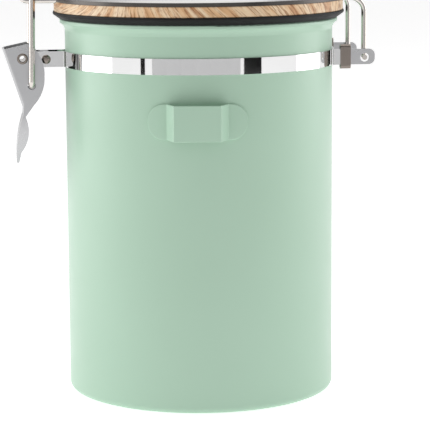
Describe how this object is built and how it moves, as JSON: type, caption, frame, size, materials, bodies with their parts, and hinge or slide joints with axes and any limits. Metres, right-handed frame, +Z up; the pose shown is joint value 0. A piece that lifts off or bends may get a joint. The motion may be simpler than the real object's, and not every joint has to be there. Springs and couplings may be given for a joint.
{
  "type": "coffee canister",
  "caption": "Airtight painted steel coffee canister with a wood-edged lid on a wire bail hinge, an over-centre draw latch, a clamp strap and a spoon bracket.",
  "frame": {"origin": "centre of the foot circle the can stands on", "axes": "+Z up along the can, -X towards the latch, +X towards the lid hinge, the spoon bracket near -Y"},
  "size_m": [0.17, 0.1377, 0.19],
  "materials": {
    "mint_paint": "smooth satin powder coat, pale mint green",
    "polished_steel": "bright polished stainless sheet",
    "satin_steel": "satin stainless sheet",
    "wire_steel": "drawn stainless wire, polished",
    "bamboo": "clear-lacquered bamboo with brown streaks",
    "brushed_steel": "brushed stainless sheet",
    "black_silicone": "matte black silicone",
    "black_plastic": "fine matte black moulding",
    "dial_plastic": "semi-gloss black moulding",
    "felt": "pressed off-white felt"
  },
  "bodies": {
    "canister": {"can_wall": "mint_paint", "can_base": "mint_paint", "spoon_bracket": "mint_paint", "strap_front": "polished_steel", "strap_rear": "polished_steel", "hinge_yoke": "satin_steel", "ferrule_front": "polished_steel", "ferrule_rear": "polished_steel", "strap_rivet": "polished_steel", "rivet_spacer": "satin_steel", "pivot_spacer": "satin_steel"},
    "lid": {"lid_bail": "wire_steel", "lid_wood": "bamboo", "lid_cap": "brushed_steel", "lid_gasket": "black_silicone", "lid_plug": "black_plastic", "lid_screws": "satin_steel", "valve_housing": "black_plastic", "valve_flap": "black_silicone", "valve_filter": "felt", "valve_nut": "black_plastic", "dial_base": "dial_plastic", "valve_cap": "dial_plastic"},
    "lever": {"latch_lever": "satin_steel", "pivot_eyelet": "polished_steel", "pivot_washers": "satin_steel"},
    "loop": {"latch_loop": "wire_steel"},
    "day_dial": {"day_ring": "dial_plastic"},
    "month_dial": {"month_ring": "dial_plastic"}
  },
  "joints": [
    {"name": "lid_hinge", "type": "hinge", "parent": "canister", "child": "lid", "pos_m": [0.0743, 0, 0.1549], "axis": [0, 1, 0], "range_deg": [0, 200]},
    {"name": "lever_pivot", "type": "hinge", "parent": "canister", "child": "lever", "pos_m": [-0.082, 0, 0.1559], "axis": [0, 1, 0], "range_deg": [0, 120]},
    {"name": "loop_pivot", "type": "hinge", "parent": "lever", "child": "loop", "pos_m": [-0.078, 0, 0.1435], "axis": [0, 1, 0], "range_deg": [-85, 0]},
    {"name": "day_turn", "type": "hinge", "parent": "lid", "child": "day_dial", "pos_m": [0, 0, 0.187], "axis": [0, 0, 1], "continuous": true},
    {"name": "month_turn", "type": "hinge", "parent": "lid", "child": "month_dial", "pos_m": [0, 0, 0.187], "axis": [0, 0, 1], "continuous": true}
  ],
  "couplings": [
    {"joint": "loop_pivot", "follows": "lever_pivot", "ratio": -0.7}
  ]
}
